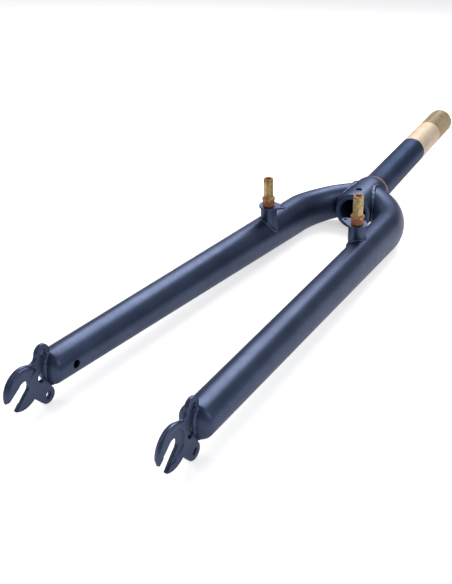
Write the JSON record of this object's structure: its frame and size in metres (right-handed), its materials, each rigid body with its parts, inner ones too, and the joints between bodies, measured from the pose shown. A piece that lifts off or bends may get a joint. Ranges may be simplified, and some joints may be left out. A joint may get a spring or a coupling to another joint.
{
  "type": "bicycle fork",
  "caption": "Rigid steel unicrown bicycle fork with a threaded steerer, brake studs on the blades and slotted dropouts with eyelets.",
  "frame": {"origin": "centre of the crown race seat, on the steerer's axis", "axes": "+Y up the steerer, within 6 degrees; +Z to the front of the fork, up as it lies on its back; +X to the rider's left"},
  "size_m": [0.1284, 0.681, 0.0736],
  "materials": {
    "blue_paint": "satin dark blue paint",
    "painted_weld": "dark blue paint over a lumpy weld bead",
    "steerer_steel": "dark blue paint below, bare tan steel with some rust and a fine thread above",
    "zinc_stud": "yellow zinc plating, dull and rusty"
  },
  "bodies": {
    "root": {"steerer_tube": "steerer_steel", "crown_sleeve": "blue_paint", "left_blade": "blue_paint", "right_blade": "blue_paint", "left_dropout": "blue_paint", "right_dropout": "blue_paint", "left_brake_boss": "blue_paint", "right_brake_boss": "blue_paint", "left_brake_stud": "zinc_stud", "right_brake_stud": "zinc_stud", "left_crown_weld": "painted_weld", "right_crown_weld": "painted_weld", "left_boss_weld": "painted_weld", "right_boss_weld": "painted_weld", "left_dropout_weld": "painted_weld", "right_dropout_weld": "painted_weld"}
  },
  "joints": []
}
